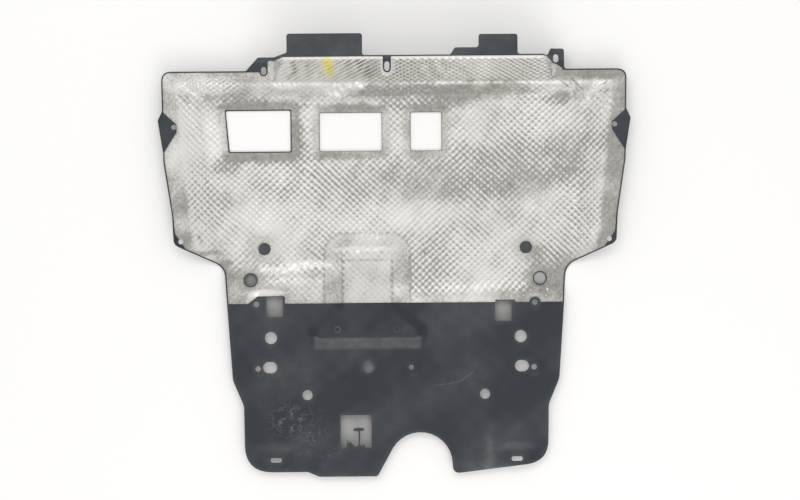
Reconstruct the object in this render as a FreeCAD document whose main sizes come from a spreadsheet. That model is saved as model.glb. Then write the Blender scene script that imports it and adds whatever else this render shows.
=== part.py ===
"""Engine splash shield: a moulded undertray panel with an embossed aluminium heat shield pressed on to it.

Both pieces are formed sheets. One forming die carries the relief of the tray, and each sheet is the layer between
the die and the die lifted along the draw direction, trimmed to the plan of its piece. So the two sheets nest face
to face, and a sheet's thickness is measured along the draw.

Frame: the tray lies as it comes to rest, the engine side up. The origin is at the bottom centre. +X runs across
the car, +Y towards the raised wall with the two tabs, and +Z up.
"""
import FreeCAD, Part
import os
import re
import Sketcher

SIZES = {
    # Sheets, in millimetres, and angles, in degrees from the draw direction
    "panel_thickness": 3.0,
    "shield_thickness": 1.0,
    "shield_setback": 2.5,
    "die_depth": 20,
    "die_margin": 60,

    # Rim round the field, and the raised wall on it
    "rim_height": 24,
    "rim_draft": 45,
    "rim_side_draft": 62,
    "rim_foot_y": 279.75,
    "rim_foot_top_x": 337.5,
    "rim_foot_low_x": 301,
    "rim_low_y": -56.25,
    "wall_height": 65,
    "wall_ledge": 2,
    "wall_front_run": 34,
    "wall_end_run": 20,
    "wall_left_x": -208,
    "wall_right_x": 276,

    # Raised plane of the tray, with the pocket sunk in it
    "tray_height": 12,
    "tray_draft": 58,
    "tray_step_left_y": -19.25,
    "tray_step_right_y": -55.25,
    "pocket_x": -49,
    "neck_half_width": 41.5,
    "neck_end_y": -91.25,
    "pocket_half_width": 86,
    "pocket_shoulder_y": -129.75,
    "pocket_end_y": -140.75,

    # Plan of the panel: wings, tray, tail with its arched notch
    "wing_top_x": 404.5,
    "wing_top_y": 324.75,
    "wing_low_x": 384.5,
    "wing_low_y": 23.75,
    "wing_knee_x": 387,
    "wing_knee_y": 74,
    "wing_mid_x": 401.5,
    "wing_mid_y": 168,
    "wing_root_x": 280,
    "wing_root_y": -24.25,
    "wing_top_radius": 17,
    "wing_low_radius": 14,
    "armpit_radius": 32,
    "side_ear_top_y": 255.75,
    "side_ear_tip_y": 239.75,
    "side_ear_low_y": 183.75,
    "side_ear_reach": 8,
    "tray_top_x": 301,
    "waist_x": 284.5,
    "waist_y": -213.25,
    "hip_x": 265.5,
    "hip_y": -258.25,
    "waist_radius": 30,
    "tail_side_x": 264,
    "tail_left_y": -373.75,
    "tail_step_x": -145,
    "tail_step_width": 20,
    "tail_mid_y": -382.25,
    "tail_right_y": -358.25,
    "tail_notch_y": -378.75,
    "tail_left_radius": 48,
    "tail_right_radius": 42,
    "notch_x": 41.5,
    "notch_y": -361.95,
    "notch_radius": 56,
    "notch_flare_x": -50,
    "notch_lip_radius": 13,

    # Plan of the panel: top band with its tabs and ears
    "band_root_y": 303.75,
    "band_top_y": 344.75,
    "band_left_x": -185,
    "band_right_x": 264,
    "long_tab_left_x": -182.5,
    "long_tab_right_x": -53.5,
    "long_tab_top_y": 382.25,
    "short_tab_left_x": 145,
    "short_tab_right_x": 211.5,
    "short_tab_top_y": 379.25,
    "short_tab_step_x": 104,
    "short_tab_step_y": 356.75,
    "tab_radius": 5,
    "left_ear_out_x": -257,
    "left_ear_in_x": -236,
    "left_ear_top_y": 348.25,
    "right_ear_in_x": 272,
    "right_ear_out_x": 296,
    "right_ear_top_y": 359.75,

    # Windows in the field
    "window_low_y": 185.75,
    "window_top_y": 252.75,
    "window_radius": 3,
    "wide_window_top_y": 257.25,
    "wide_window_left_x": -294.5,
    "wide_window_right_x": -181.5,
    "wide_window_lean": 6.5,
    "middle_window_left_x": -130.5,
    "middle_window_right_x": -22,
    "narrow_window_left_x": 28.5,
    "narrow_window_right_x": 82.5,

    # Fixing holes and slots
    "left_ear_hole_x": -226,
    "left_ear_hole_y": 324.75,
    "wall_hole_x": -11.7,
    "wall_hole_y": 327.75,
    "right_ear_hole_x": 281.5,
    "right_ear_hole_y": 342.75,
    "top_hole_width": 9,
    "top_hole_length": 14,
    "side_hole_x": 383,
    "side_hole_y": 228.25,
    "side_hole_diameter": 9,
    "corner_hole_x": 372,
    "corner_hole_y": 29.25,
    "corner_hole_diameter": 9,
    "upper_hole_x": 242.5,
    "upper_hole_y": -80.75,
    "lower_hole_x": 240.5,
    "lower_hole_y": -193.25,
    "tray_hole_diameter": 9.5,
    "middle_hole_x": 26.5,
    "middle_hole_y": -192.25,
    "middle_hole_diameter": 8.5,
    "slot_x": 209.7,
    "slot_y": -352.75,
    "slot_length": 19.5,
    "slot_width": 8,

    # Bosses round the fixings of the tray
    "boss_height": 3,
    "boss_draft": 60,
    "boss_diameter": 32,
    "slot_boss_length": 62,
    "slot_boss_width": 42,

    # Access holes
    "field_access_x": 228.5,
    "field_access_y": 15.45,
    "step_access_x": 252.5,
    "step_access_y": -38.75,
    "tray_access_x": 217.7,
    "tray_access_y": -139.75,
    "tail_access_x": 154.7,
    "tail_access_y": -239.75,
    "centre_access_x": -48,
    "centre_access_y": -191.25,
    "access_diameter": 21,
    "tail_access_diameter": 17.5,
    "access_ring": 2,
    "key_hole_x": 219.3,
    "key_hole_y": -191.25,
    "key_hole_length": 24.3,
    "key_hole_width": 19.7,
    "left_port_x": -211,
    "left_port_y": -85.25,
    "right_port_x": 187.8,
    "right_port_y": -95.25,
    "port_width": 28.8,
    "port_height": 35,
    "broken_port_left_x": -97.5,
    "broken_port_low_y": -331.75,
    "broken_port_width": 54,
    "broken_port_height": 56.5,
    "port_radius": 2.5,

    # Plan of the heat shield where it stops short of the panel
    "shield_low_y": -79.85,
    "shield_corner_x": 363.5,
    "shield_corner_y": 43.25,
    "lobe_ring": 2.5,
    "side_lobe_depth": 5,
    "side_lobe_rise": 4.5,
    "side_lobe_fall": 9,
    "window_rim": 0.6,
    "wide_window_rim": 2,
    "access_lap": 0.6,
    "left_relief_in_x": -193,
    "left_relief_out_x": -240,
    "left_relief_slope": 17,
    "left_relief_y": -66.75,
    "right_relief_in_x": 174,
    "right_relief_out_x": 208,
    "right_relief_y": -75.75,
    "arch_radius": 10,
}

# The broken lower edge of the square port, from its lower left corner: torn teeth, and a torn sliver with a
# hooked head that still stands on the edge.
BROKEN_EDGE = [
    (10.5, 0), (11.5, 14.5), (14, 8), (16.5, 10.5), (19.5, 7), (24, 2.5), (29.5, 1.5), (31, 5),
    (31.2, 28), (22, 29), (22.5, 33), (32, 35), (41.5, 33), (41, 29.5), (34, 28.5), (33.5, 4.5),
    (37, 2.5), (40.5, 6), (42.5, 0),
]

doc = FreeCAD.newDocument("splash_shield")
sheet = doc.addObject("Spreadsheet::Sheet", "Sizes")
for row, (alias, value) in enumerate(SIZES.items(), start=1):
    sheet.set(f"A{row}", alias)
    sheet.set(f"B{row}", str(value))
    sheet.setAlias(f"B{row}", alias)
doc.recompute()


def size(text):
    """An expression in which each name of the sheet points at its cell."""
    return re.sub(r"[a-z_]+", lambda word: f"Sizes.{word[0]}" if word[0] in SIZES else word[0], text)


def value_of(text):
    return float(sheet.evalExpression(size(text)))


def origin_plane(body):
    return next(plane for plane in body.Origin.OriginFeatures if plane.Role == "XY_Plane")


def new_sketch(body, name):
    sketch = body.newObject("Sketcher::SketchObject", name)
    sketch.AttachmentSupport = [(origin_plane(body), "")]
    sketch.MapMode = "FlatFace"
    return sketch


def set_dimension(sketch, constraint, text):
    index = sketch.addConstraint(constraint)
    sketch.setExpression(f"Constraints[{index}]", size(text))


def place_point(sketch, geometry, point, x_text, y_text):
    """Ties a point of the sketch to its place from the origin."""
    origin = (-1, 1)
    x_distance = Sketcher.Constraint("DistanceX", *origin, geometry, point, value_of(x_text))
    y_distance = Sketcher.Constraint("DistanceY", *origin, geometry, point, value_of(y_text))
    set_dimension(sketch, x_distance, x_text)
    set_dimension(sketch, y_distance, y_text)


def point_at(x_text, y_text):
    return FreeCAD.Vector(value_of(x_text), value_of(y_text), 0)


def draw_polygon(sketch, corners):
    """A closed outline of straight edges."""
    points = [point_at(*corner) for corner in corners]
    first = sketch.GeometryCount
    count = len(points)
    for i in range(count):
        sketch.addGeometry(Part.LineSegment(points[i], points[(i + 1) % count]))
    for i, corner in enumerate(corners):
        sketch.addConstraint(Sketcher.Constraint("Coincident", first + i, 2, first + (i + 1) % count, 1))
        place_point(sketch, first + i, 1, *corner)


def rectangle(left, low, right, top):
    return [(left, low), (right, low), (right, top), (left, top)]


def draw_slot(sketch, x_text, y_text, length_text, width_text, upright=False):
    """An obround hole: two straight edges and two half rounds."""
    spread = f"(({length_text}) - ({width_text})) / 2"
    if upright:
        ends = [(x_text, f"{y_text} + {spread}"), (x_text, f"{y_text} - {spread}")]
    else:
        ends = [(f"{x_text} - {spread}", y_text), (f"{x_text} + {spread}", y_text)]
    first_end, last_end = [point_at(*end) for end in ends]
    along = (last_end - first_end).normalize()
    radius = value_of(width_text) / 2
    aside = FreeCAD.Vector(-along.y, along.x, 0) * radius
    first_round = sketch.addGeometry(Part.Arc(first_end + aside, first_end - along * radius, first_end - aside))
    low_edge = sketch.addGeometry(Part.LineSegment(first_end - aside, last_end - aside))
    last_round = sketch.addGeometry(Part.Arc(last_end - aside, last_end + along * radius, last_end + aside))
    top_edge = sketch.addGeometry(Part.LineSegment(last_end + aside, first_end + aside))
    sketch.addConstraint(Sketcher.Constraint("Tangent", first_round, 2, low_edge, 1))
    sketch.addConstraint(Sketcher.Constraint("Tangent", low_edge, 2, last_round, 1))
    sketch.addConstraint(Sketcher.Constraint("Tangent", last_round, 2, top_edge, 1))
    sketch.addConstraint(Sketcher.Constraint("Tangent", top_edge, 2, first_round, 1))
    place_point(sketch, first_round, 3, *ends[0])
    place_point(sketch, last_round, 3, *ends[1])
    set_dimension(sketch, Sketcher.Constraint("Radius", first_round, radius), f"({width_text}) / 2")


def add_pad(body, name, sketch, height):
    pad = body.newObject("PartDesign::Pad", name)
    pad.Profile = sketch
    pad.setExpression("Length", size(height))
    return pad


def add_pocket(body, name, sketch):
    """Cuts the sketch through the whole height of a plan."""
    pocket = body.newObject("PartDesign::Pocket", name)
    pocket.Profile = sketch
    pocket.Reversed = True
    pocket.Type = "ThroughAll"
    return pocket


def is_wall(face):
    return face.BoundBox.ZLength > 1e-6


def is_side_wall(face):
    return is_wall(face) and face.BoundBox.YLength > face.BoundBox.XLength


def is_cross_wall(face):
    return is_wall(face) and not is_side_wall(face)


def add_draft(body, name, angle, chosen=is_wall):
    """Leans the chosen walls of the body inwards from their foot."""
    doc.recompute()
    base = body.Tip
    walls = [f"Face{number}" for number, face in enumerate(base.Shape.Faces, start=1) if chosen(face)]
    draft = body.newObject("PartDesign::Draft", name)
    draft.Base = (base, walls)
    draft.NeutralPlane = (origin_plane(body), [""])
    draft.setExpression("Angle", size(angle))
    return draft


def new_body(name, level):
    body = doc.addObject("PartDesign::Body", name)
    body.setExpression("Placement.Base.z", size(level))
    return body


def raised_area(name, corners, height):
    """A flat-topped area of the die, drawn at the foot of its walls."""
    body = new_body(name, "0")
    sketch = new_sketch(body, f"{name}_foot")
    draw_polygon(sketch, corners)
    add_pad(body, f"{name}_pad", sketch, height)
    return body


def mirrored(corners):
    return [(f"-({x})", y) for x, y in reversed(corners)]


def round_corners(body, name, places, radius):
    """Rounds the upright edges of a plan that stand nearest to the given places."""
    doc.recompute()
    base = body.Tip
    upright = {}
    for number, edge in enumerate(base.Shape.Edges, start=1):
        box = edge.BoundBox
        if box.XLength + box.YLength < 1e-6:
            upright[f"Edge{number}"] = FreeCAD.Vector(box.XMin, box.YMin, 0)
    names = [min(upright, key=lambda edge: (upright[edge] - point_at(*place)).Length) for place in places]
    fillet = body.newObject("PartDesign::Fillet", name)
    fillet.Base = (base, names)
    fillet.setExpression("Radius", size(radius))
    return fillet


# Forming die: the underside of the whole tray, as one block
die_left, die_right = "-(wing_top_x + die_margin)", "wing_top_x + die_margin"
die_low, die_top = "tail_mid_y - die_margin", "long_tab_top_y + die_margin"


def bind(item, **expressions):
    for prop, text in expressions.items():
        item.setExpression(prop.replace("_at_", "Placement.Base."), size(text))


field = doc.addObject("Part::Box", "field")
bind(field, Length="2 * (wing_top_x + die_margin)", Width=f"{die_top} - ({die_low})", Height="die_depth",
     _at_x=die_left, _at_y=die_low, _at_z="-die_depth")

rim = raised_area("rim", [
    (die_left, "rim_low_y"),
    ("-rim_foot_low_x", "rim_low_y"),
    ("-rim_foot_top_x", "rim_foot_y"),
    ("rim_foot_top_x", "rim_foot_y"),
    ("rim_foot_low_x", "rim_low_y"),
    (die_right, "rim_low_y"),
    (die_right, die_top),
    (die_left, die_top),
], "rim_height")
add_draft(rim, "rim_side_walls", "rim_side_draft", is_side_wall)
add_draft(rim, "rim_cross_walls", "rim_draft", is_cross_wall)

# The wedge tapers along its own Y, which is turned up to +Z, so its own Z runs backwards along Y
wall_foot_y = "rim_foot_y + rim_height * tan(rim_draft) + wall_ledge"
wall_back_y = "long_tab_top_y + die_margin / 2"
wall = doc.addObject("Part::Wedge", "wall")
wall.Placement.Rotation = FreeCAD.Rotation(FreeCAD.Vector(1, 0, 0), 90)
bind(wall, _at_z="rim_height", Ymin="0", Ymax="wall_height",
     Xmin="wall_left_x", Xmax="wall_right_x",
     X2min="wall_left_x + wall_end_run", X2max="wall_right_x - wall_end_run",
     Zmin=f"-({wall_back_y})", Z2min=f"-({wall_back_y})",
     Zmax=f"-({wall_foot_y})", Z2max=f"-({wall_foot_y} + wall_front_run)")

neck_left, neck_right = "pocket_x - neck_half_width", "pocket_x + neck_half_width"
pocket_left, pocket_right = "pocket_x - pocket_half_width", "pocket_x + pocket_half_width"
tray = raised_area("tray", [
    (die_left, die_low),
    (die_right, die_low),
    (die_right, "tray_step_right_y"),
    (neck_right, "tray_step_right_y"),
    (neck_right, "neck_end_y"),
    (pocket_right, "pocket_shoulder_y"),
    (pocket_right, "pocket_end_y"),
    (pocket_left, "pocket_end_y"),
    (pocket_left, "pocket_shoulder_y"),
    (neck_left, "neck_end_y"),
    (neck_left, "tray_step_left_y"),
    (die_left, "tray_step_left_y"),
], "tray_height")
add_draft(tray, "tray_walls", "tray_draft")

# Each round boss rises from the level of the field, so that it also stands on the slope of the step
bosses = []
for name, (x, y) in {
    "left_upper": ("-upper_hole_x", "upper_hole_y"),
    "right_upper": ("upper_hole_x", "upper_hole_y"),
    "left_lower": ("-lower_hole_x", "lower_hole_y"),
    "right_lower": ("lower_hole_x", "lower_hole_y"),
    "middle": ("middle_hole_x", "middle_hole_y"),
}.items():
    boss = doc.addObject("Part::Cone", f"{name}_boss")
    bind(boss, Radius1="boss_diameter / 2 + tray_height * tan(boss_draft)",
         Radius2="boss_diameter / 2 - boss_height * tan(boss_draft)",
         Height="tray_height + boss_height", _at_x=x, _at_y=y)
    bosses.append(boss)

for name, x in {"left": "-slot_x", "right": "slot_x"}.items():
    boss = new_body(f"{name}_slot_boss", "tray_height")
    boss_foot = new_sketch(boss, f"{name}_slot_boss_foot")
    draw_slot(boss_foot, x, "slot_y", "slot_boss_length", "slot_boss_width")
    add_pad(boss, f"{name}_slot_boss_pad", boss_foot, "boss_height")
    add_draft(boss, f"{name}_slot_boss_walls", "boss_draft")
    bosses.append(boss)

die = doc.addObject("Part::MultiFuse", "forming_die")
die.Shapes = [field, rim, wall, tray] + bosses

# Plan of the panel: its outline and its holes, as an upright prism that trims the formed sheet
plan_height = "die_depth + rim_height + wall_height + panel_thickness + shield_thickness + die_depth"
panel_plan = new_body("panel_plan", "-die_depth")


def plan_area(body, name, corners):
    sketch = new_sketch(body, f"{name}_outline")
    draw_polygon(sketch, corners)
    return add_pad(body, name, sketch, plan_height)


right_wing = [
    ("wing_root_x", "wing_root_y"),
    ("wing_low_x", "wing_low_y"),
    ("wing_knee_x", "wing_knee_y"),
    ("wing_mid_x", "wing_mid_y"),
    ("wing_top_x", "wing_top_y"),
]
plan_area(panel_plan, "wings", right_wing + mirrored(right_wing))

tray_flank = [
    ("hip_x", "hip_y"),
    ("waist_x", "waist_y"),
    ("tray_top_x", "wing_low_y"),
]
plan_area(panel_plan, "tray_plan", [
    ("-tail_side_x", "tail_left_y"),
    ("tail_step_x - tail_step_width / 2", "tail_left_y"),
    ("tail_step_x + tail_step_width / 2", "tail_mid_y"),
    ("notch_x - notch_radius", "tail_mid_y"),
    ("notch_x + notch_radius", "tail_notch_y"),
    ("tail_side_x", "tail_right_y"),
] + tray_flank + mirrored(tray_flank))

plan_area(panel_plan, "top_band", rectangle("band_left_x", "band_root_y", "band_right_x", "band_top_y"))
plan_area(panel_plan, "long_tab", rectangle("long_tab_left_x", "band_root_y", "long_tab_right_x", "long_tab_top_y"))
plan_area(panel_plan, "short_tab", [
    ("short_tab_step_x", "band_root_y"),
    ("short_tab_right_x", "band_root_y"),
    ("short_tab_right_x", "short_tab_top_y"),
    ("short_tab_left_x", "short_tab_top_y"),
    ("short_tab_left_x", "short_tab_step_y"),
    ("short_tab_step_x", "short_tab_step_y"),
])
plan_area(panel_plan, "left_ear", [
    ("left_ear_out_x", "band_root_y"),
    ("long_tab_left_x + tab_radius", "band_root_y"),
    ("long_tab_left_x + tab_radius", "left_ear_top_y"),
    ("left_ear_in_x", "left_ear_top_y"),
    ("left_ear_out_x", "wing_top_y"),
])
plan_area(panel_plan, "right_ear", [
    ("band_right_x - tab_radius", "band_root_y"),
    ("right_ear_out_x", "band_root_y"),
    ("right_ear_out_x", "right_ear_top_y"),
    ("right_ear_in_x", "right_ear_top_y"),
    ("band_right_x", "band_top_y"),
    ("band_right_x - tab_radius", "band_top_y"),
])


def wing_side_x(y):
    return f"wing_mid_x + (wing_top_x - wing_mid_x) * ({y} - wing_mid_y) / (wing_top_y - wing_mid_y)"


side_ear = [
    ("rim_foot_top_x", "side_ear_low_y"),
    (wing_side_x("side_ear_low_y"), "side_ear_low_y"),
    (f"{wing_side_x('side_ear_tip_y')} + side_ear_reach", "side_ear_tip_y"),
    (wing_side_x("side_ear_top_y"), "side_ear_top_y"),
    ("rim_foot_top_x", "side_ear_top_y"),
]
plan_area(panel_plan, "right_side_ear", side_ear)
plan_area(panel_plan, "left_side_ear", mirrored(side_ear))

notch = new_sketch(panel_plan, "notch_outline")
notch_centre = point_at("notch_x", "notch_y")
notch_reach = value_of("notch_radius")
notch_floor = "tail_mid_y - die_margin / 2"
flank_foot = point_at("notch_flare_x", notch_floor)
to_centre = notch_centre - flank_foot
arc_end = notch_centre + FreeCAD.Vector(-to_centre.y, to_centre.x, 0).normalize() * notch_reach
crown = notch_centre + FreeCAD.Vector(0, notch_reach, 0)
spring = notch_centre + FreeCAD.Vector(notch_reach, 0, 0)
mouth_right = FreeCAD.Vector(spring.x, flank_foot.y, 0)
arch = notch.addGeometry(Part.Arc(spring, crown, arc_end))
left_flank = notch.addGeometry(Part.LineSegment(arc_end, flank_foot))
mouth = notch.addGeometry(Part.LineSegment(flank_foot, mouth_right))
right_flank = notch.addGeometry(Part.LineSegment(mouth_right, spring))
notch.addConstraint(Sketcher.Constraint("Tangent", arch, 2, left_flank, 1))
notch.addConstraint(Sketcher.Constraint("Coincident", left_flank, 2, mouth, 1))
notch.addConstraint(Sketcher.Constraint("Coincident", mouth, 2, right_flank, 1))
notch.addConstraint(Sketcher.Constraint("Tangent", right_flank, 2, arch, 1))
notch.addConstraint(Sketcher.Constraint("Vertical", right_flank))
notch.addConstraint(Sketcher.Constraint("Horizontal", mouth))
place_point(notch, arch, 3, "notch_x", "notch_y")
place_point(notch, left_flank, 2, "notch_flare_x", notch_floor)
set_dimension(notch, Sketcher.Constraint("Radius", arch, notch_reach), "notch_radius")
add_pocket(panel_plan, "notch", notch)

round_corners(panel_plan, "wing_top_rounds", [("wing_top_x", "wing_top_y"), ("-wing_top_x", "wing_top_y")],
              "wing_top_radius")
round_corners(panel_plan, "wing_low_rounds", [("wing_low_x", "wing_low_y"), ("-wing_low_x", "wing_low_y")],
              "wing_low_radius")
round_corners(panel_plan, "armpit_rounds", [("tray_top_x", "wing_root_y"), ("-tray_top_x", "wing_root_y")],
              "armpit_radius")
round_corners(panel_plan, "waist_rounds", [
    ("waist_x", "waist_y"), ("-waist_x", "waist_y"), ("hip_x", "hip_y"), ("-hip_x", "hip_y"),
], "waist_radius")
round_corners(panel_plan, "tail_left_round", [("-tail_side_x", "tail_left_y")], "tail_left_radius")
round_corners(panel_plan, "tail_right_round", [("tail_side_x", "tail_right_y")], "tail_right_radius")
round_corners(panel_plan, "notch_lip_round", [("notch_x + notch_radius", "tail_notch_y")], "notch_lip_radius")
round_corners(panel_plan, "tab_rounds", [
    ("long_tab_left_x", "long_tab_top_y"),
    ("long_tab_right_x", "long_tab_top_y"),
    ("long_tab_left_x", "left_ear_top_y"),
    ("long_tab_right_x", "band_top_y"),
    ("short_tab_left_x", "short_tab_top_y"),
    ("short_tab_right_x", "short_tab_top_y"),
    ("short_tab_left_x", "short_tab_step_y"),
    ("short_tab_right_x", "band_top_y"),
    ("short_tab_step_x", "short_tab_step_y"),
    ("right_ear_out_x", "right_ear_top_y"),
    ("right_ear_in_x", "right_ear_top_y"),
    ("right_ear_out_x", "wing_top_y"),
], "tab_radius")

# Holes of the panel: windows and ports with rounded corners, round holes, slots, and the broken port
def hole_round(name, x, y, diameter):
    hole = doc.addObject("Part::Cylinder", name)
    bind(hole, Radius=f"({diameter}) / 2", Height=plan_height, _at_x=x, _at_y=y, _at_z="-die_depth")
    return hole


def hole_slot(name, x, y, length, width, upright=False):
    hole = new_body(name, "-die_depth")
    sketch = new_sketch(hole, f"{name}_outline")
    draw_slot(sketch, x, y, length, width, upright)
    add_pad(hole, f"{name}_pad", sketch, plan_height)
    return hole


def hole_polygon(name, corners, rounded=(), radius=None):
    hole = new_body(name, "-die_depth")
    plan_area(hole, f"{name}_area", corners)
    if radius:
        round_corners(hole, f"{name}_rounds", rounded, radius)
    return hole


WINDOWS = {
    "wide_window": [
        ("wide_window_left_x + wide_window_lean", "window_low_y"),
        ("wide_window_right_x", "window_low_y"),
        ("wide_window_right_x", "wide_window_top_y"),
        ("wide_window_left_x", "wide_window_top_y"),
    ],
    "middle_window": rectangle("middle_window_left_x", "window_low_y", "middle_window_right_x", "window_top_y"),
    "narrow_window": rectangle("narrow_window_left_x", "window_low_y", "narrow_window_right_x", "window_top_y"),
}
PORTS = {
    "left_port": ("left_port_x", "left_port_y"),
    "right_port": ("right_port_x", "right_port_y"),
}
TOP_HOLES = {
    "left_ear_hole": ("left_ear_hole_x", "left_ear_hole_y"),
    "wall_hole": ("wall_hole_x", "wall_hole_y"),
    "right_ear_hole": ("right_ear_hole_x", "right_ear_hole_y"),
}
SIDES = {"left": "-1", "right": "1"}
panel_holes = []
for name, corners in WINDOWS.items():
    panel_holes.append(hole_polygon(name, corners, corners, "window_radius"))
for name, (x, y) in PORTS.items():
    corners = rectangle(f"{x} - port_width / 2", f"{y} - port_height / 2",
                        f"{x} + port_width / 2", f"{y} + port_height / 2")
    panel_holes.append(hole_polygon(name, corners, corners, "port_radius"))
for name, (x, y) in TOP_HOLES.items():
    panel_holes.append(hole_slot(name, x, y, "top_hole_length", "top_hole_width", upright=True))
for side, sign in SIDES.items():
    panel_holes += [
        hole_round(f"{side}_side_hole", f"{sign} * side_hole_x", "side_hole_y", "side_hole_diameter"),
        hole_round(f"{side}_corner_hole", f"{sign} * corner_hole_x", "corner_hole_y", "corner_hole_diameter"),
        hole_round(f"{side}_upper_hole", f"{sign} * upper_hole_x", "upper_hole_y", "tray_hole_diameter"),
        hole_round(f"{side}_lower_hole", f"{sign} * lower_hole_x", "lower_hole_y", "tray_hole_diameter"),
        hole_round(f"{side}_step_access", f"{sign} * step_access_x", "step_access_y", "access_diameter"),
        hole_round(f"{side}_tray_access", f"{sign} * tray_access_x", "tray_access_y", "access_diameter"),
        hole_round(f"{side}_tail_access", f"{sign} * tail_access_x", "tail_access_y", "tail_access_diameter"),
        hole_slot(f"{side}_slot", f"{sign} * slot_x", "slot_y", "slot_length", "slot_width"),
        hole_slot(f"{side}_key_hole", f"{sign} * key_hole_x", "key_hole_y", "key_hole_length", "key_hole_width"),
    ]
panel_holes.append(hole_round("middle_hole", "middle_hole_x", "middle_hole_y", "middle_hole_diameter"))
panel_holes.append(hole_round("centre_access", "centre_access_x", "centre_access_y", "access_diameter"))

broken_corners = rectangle("broken_port_left_x", "broken_port_low_y",
                           "broken_port_left_x + broken_port_width", "broken_port_low_y + broken_port_height")
torn_edge = [(f"broken_port_left_x + {x}", f"broken_port_low_y + {y}") for x, y in BROKEN_EDGE]
panel_holes.append(hole_polygon("broken_port", broken_corners[:1] + torn_edge + broken_corners[1:],
                                broken_corners, "port_radius"))

# Plan of the heat shield: the panel's upper outline set back, cut away round the fixing lobes
shield_plan = new_body("shield_plan", "-die_depth")


def tray_side_x(y):
    return f"waist_x + (tray_top_x - waist_x) * ({y} - waist_y) / (wing_low_y - waist_y)"


def wing_edge_y(x):
    return f"wing_root_y + (({x}) - wing_root_x) * (wing_low_y - wing_root_y) / (wing_low_x - wing_root_x)"


armpit_x = f"{tray_side_x('wing_root_y')} - shield_setback"
right_half = [
    (f"{tray_side_x('shield_low_y')} - shield_setback", "shield_low_y"),
    (armpit_x, f"{wing_edge_y(armpit_x)} + shield_setback"),
    ("shield_corner_x", f"{wing_edge_y('shield_corner_x')} + shield_setback"),
    ("wing_low_x - shield_setback", "shield_corner_y"),
    ("wing_knee_x - shield_setback", "wing_knee_y"),
    ("wing_mid_x - shield_setback", "wing_mid_y"),
    ("wing_top_x - shield_setback", "wing_top_y - shield_setback"),
]
plan_area(shield_plan, "shield_wings", right_half + mirrored(right_half))
round_corners(shield_plan, "shield_top_rounds", [right_half[-1], mirrored(right_half)[0]],
              "wing_top_radius - shield_setback")
round_corners(shield_plan, "shield_armpit_rounds", [right_half[1], mirrored(right_half)[-2]],
              "armpit_radius + shield_setback")
plan_area(shield_plan, "shield_band", rectangle(
    "left_ear_hole_x + top_hole_width / 2 + lobe_ring", "band_root_y",
    "band_right_x - shield_setback", "band_top_y - shield_setback"))
plan_area(shield_plan, "shield_right_ear", [
    ("band_right_x - tab_radius", "band_root_y"),
    ("right_ear_out_x - shield_setback", "band_root_y"),
    ("right_ear_out_x - shield_setback", "wing_top_y"),
    ("right_ear_hole_x", "right_ear_hole_y - top_hole_length / 2 - lobe_ring"),
    ("band_right_x - shield_setback", "band_top_y - shield_setback"),
    ("band_right_x - tab_radius", "band_top_y - shield_setback"),
])

# Holes of the heat shield: larger than the panel's where the panel's edge shows round them. The panel is whole
# behind the two holes in the field.
side_lobe = [
    ("wing_top_x + die_margin", "side_ear_low_y"),
    (wing_side_x("side_ear_low_y"), "side_ear_low_y"),
    ("side_hole_x - side_lobe_depth", "side_hole_y - side_lobe_fall"),
    ("side_hole_x - side_lobe_depth", "side_hole_y + side_lobe_rise"),
    (wing_side_x("side_ear_top_y"), "side_ear_top_y"),
    ("wing_top_x + die_margin", "side_ear_top_y"),
]
shield_holes = [
    hole_polygon("right_side_lobe", side_lobe),
    hole_polygon("left_side_lobe", mirrored(side_lobe)),
]
for name, (x, y) in TOP_HOLES.items():
    shield_holes.append(hole_slot(f"{name}_lobe", x, f"{y} + die_margin / 2",
                                  "top_hole_length + 2 * lobe_ring + die_margin",
                                  "top_hole_width + 2 * lobe_ring", upright=True))
for name, (low_left, low_right, top_right, top_left) in WINDOWS.items():
    rim_width = "wide_window_rim" if name == "wide_window" else "window_rim"
    corners = [
        (f"{low_left[0]} - {rim_width}", f"{low_left[1]} - {rim_width}"),
        (f"{low_right[0]} + {rim_width}", f"{low_right[1]} - {rim_width}"),
        (f"{top_right[0]} + {rim_width}", f"{top_right[1]} + {rim_width}"),
        (f"{top_left[0]} - {rim_width}", f"{top_left[1]} + {rim_width}"),
    ]
    shield_holes.append(hole_polygon(f"shield_{name}", corners, corners, "window_radius"))
for side, sign in SIDES.items():
    shield_holes += [
        hole_round(f"{side}_shield_field_access", f"{sign} * field_access_x", "field_access_y",
                   "access_diameter + access_lap"),
        hole_round(f"{side}_shield_step_access", f"{sign} * step_access_x", "step_access_y",
                   "access_diameter + 2 * access_ring"),
        hole_round(f"{side}_shield_corner_hole", f"{sign} * corner_hole_x", "corner_hole_y",
                   "corner_hole_diameter + access_lap"),
    ]

relief_floor = "shield_low_y - die_margin / 2"
shield_holes += [
    hole_polygon("left_relief", [
        ("left_relief_out_x - left_relief_slope", relief_floor),
        ("left_relief_in_x", relief_floor),
        ("left_relief_in_x", "left_relief_y"),
        ("left_relief_out_x", "left_relief_y"),
        ("left_relief_out_x - left_relief_slope", "shield_low_y"),
    ]),
    hole_polygon("right_relief", rectangle("right_relief_in_x", relief_floor, "right_relief_out_x",
                                           "right_relief_y")),
    hole_round("right_arch", "upper_hole_x", "upper_hole_y", "2 * arch_radius"),
]


def lifted(name, height):
    """The die moved along the draw."""
    copy = doc.addObject("Part::Compound", name)
    copy.Links = [die]
    copy.setExpression("Placement.Base.z", size(height))
    return copy


def formed_sheet(name, outside, inside, plan, holes):
    """The layer between two lifts of the die, trimmed to its plan and pierced."""
    layer = doc.addObject("Part::Cut", f"{name}_layer")
    layer.Base = outside
    layer.Tool = inside
    blank = doc.addObject("Part::Common", f"{name}_blank")
    blank.Base = layer
    blank.Tool = plan
    piercing = doc.addObject("Part::Compound", f"{name}_piercing")
    piercing.Links = holes
    piece = doc.addObject("Part::Cut", name)
    piece.Base = blank
    piece.Tool = piercing
    piece.Label = name
    return piece


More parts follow.
